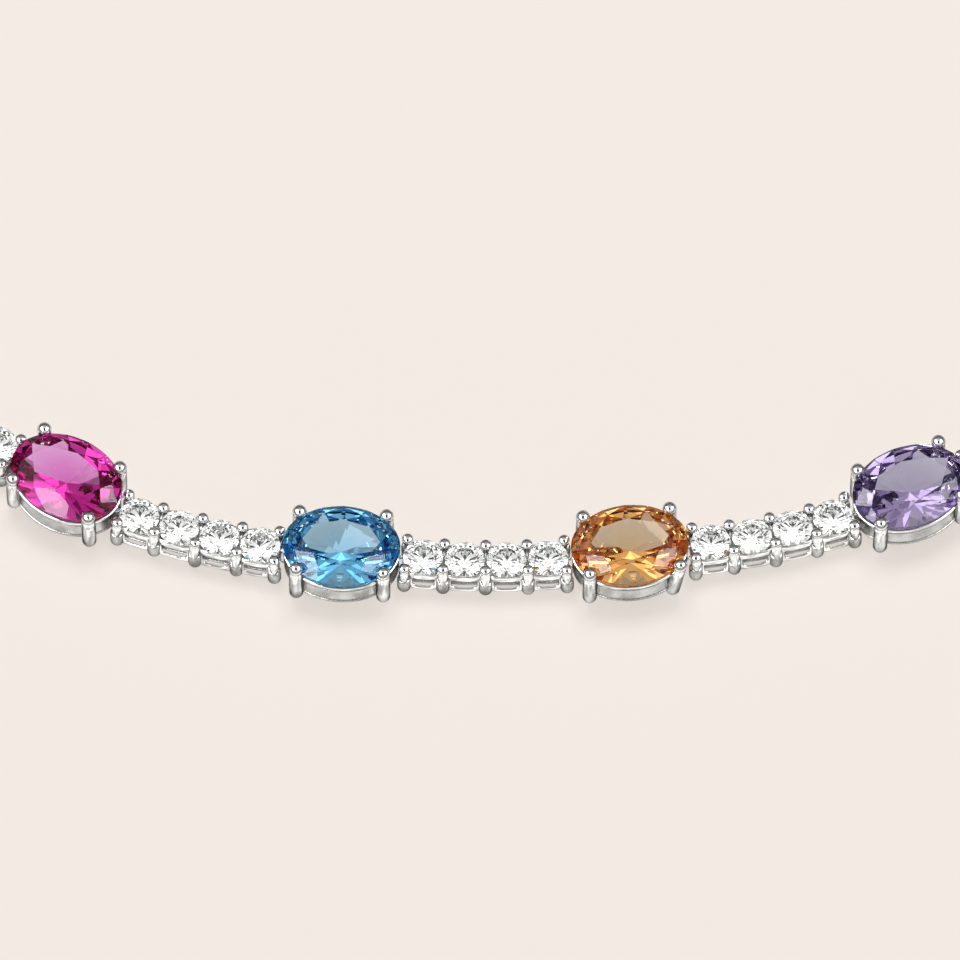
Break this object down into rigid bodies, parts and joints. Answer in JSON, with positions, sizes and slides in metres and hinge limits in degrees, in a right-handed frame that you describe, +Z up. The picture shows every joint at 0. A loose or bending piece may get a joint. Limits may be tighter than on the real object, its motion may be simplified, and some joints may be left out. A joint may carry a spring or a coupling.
{
  "type": "choker necklace",
  "caption": "Closed choker necklace lying flat: oval stones in four-claw settings, joined by cast bars of small round stones, with a box clasp.",
  "frame": {"origin": "middle of the closed loop, on the surface that the necklace lies on", "axes": "+Z up, +X to the right along the front of the necklace, -Y towards its front and +Y towards its clasp"},
  "size_m": [0.1188, 0.1118, 0.0041],
  "materials": {
    "white_metal": "rhodium-plated silver, high polish",
    "pink_stone": "faceted and polished",
    "blue_stone": "faceted and polished",
    "orange_stone": "faceted and polished",
    "violet_stone": "faceted and polished",
    "white_stone": "brilliant cut and polished"
  },
  "bodies": {
    "root": {"blue_stone_01": "blue_stone", "blue_stone_05": "blue_stone", "blue_stone_09": "blue_stone", "blue_stone_13": "blue_stone", "blue_stone_17": "blue_stone", "clasp": "white_metal", "orange_stone_02": "orange_stone", "orange_stone_06": "orange_stone", "orange_stone_10": "orange_stone", "orange_stone_14": "orange_stone", "orange_stone_18": "orange_stone", "pink_stone_04": "pink_stone", "pink_stone_08": "pink_stone", "pink_stone_12": "pink_stone", "pink_stone_16": "pink_stone", "setting_01": "white_metal", "setting_02": "white_metal", "setting_03": "white_metal", "setting_04": "white_metal", "setting_05": "white_metal", "setting_06": "white_metal", "setting_07": "white_metal", "setting_08": "white_metal", "setting_09": "white_metal", "setting_10": "white_metal", "setting_11": "white_metal", "setting_12": "white_metal", "setting_13": "white_metal", "setting_14": "white_metal", "setting_15": "white_metal", "setting_16": "white_metal", "setting_17": "white_metal", "setting_18": "white_metal", "stone_bar_01": "white_metal", "stone_bar_02": "white_metal", "stone_bar_03": "white_metal", "stone_bar_04": "white_metal", "stone_bar_05": "white_metal", "stone_bar_06": "white_metal", "stone_bar_07": "white_metal", "stone_bar_08": "white_metal", "stone_bar_09": "white_metal", "stone_bar_10": "white_metal", "stone_bar_11": "white_metal", "stone_bar_12": "white_metal", "stone_bar_13": "white_metal", "stone_bar_14": "white_metal", "stone_bar_15": "white_metal", "stone_bar_16": "white_metal", "stone_bar_17": "white_metal", "violet_stone_03": "violet_stone", "violet_stone_07": "violet_stone", "violet_stone_11": "violet_stone", "violet_stone_15": "violet_stone"}
  },
  "joints": []
}
